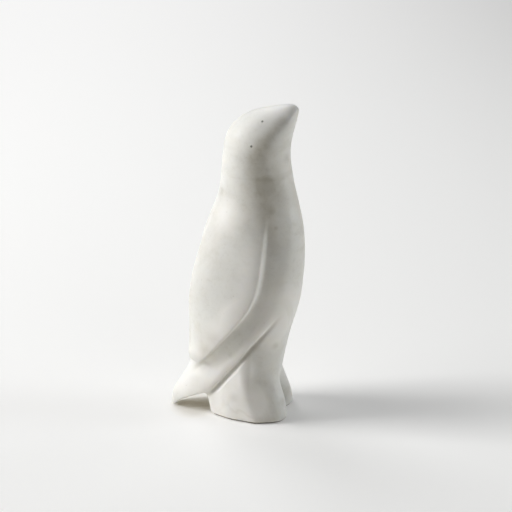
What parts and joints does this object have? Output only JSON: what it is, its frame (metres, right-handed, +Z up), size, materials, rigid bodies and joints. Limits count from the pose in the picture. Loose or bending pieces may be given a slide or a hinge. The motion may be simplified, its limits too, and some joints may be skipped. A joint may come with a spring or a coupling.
{
  "type": "penguin figurine",
  "caption": "Penguin carved from white stone, standing upright with its beak raised and flippers folded along the body, on felt foot pads; a shelf or desk ornament.",
  "frame": {"origin": "on the table, under the middle of the figurine's outline", "axes": "+X the way the penguin faces, +Y towards its left flipper, +Z up"},
  "size_m": [0.0846, 0.0592, 0.1996],
  "materials": {
    "marble": "satin",
    "felt": "matte"
  },
  "bodies": {
    "root": {"stone_carving": "marble", "right_foot_pad": "felt", "left_foot_pad": "felt"}
  },
  "joints": []
}
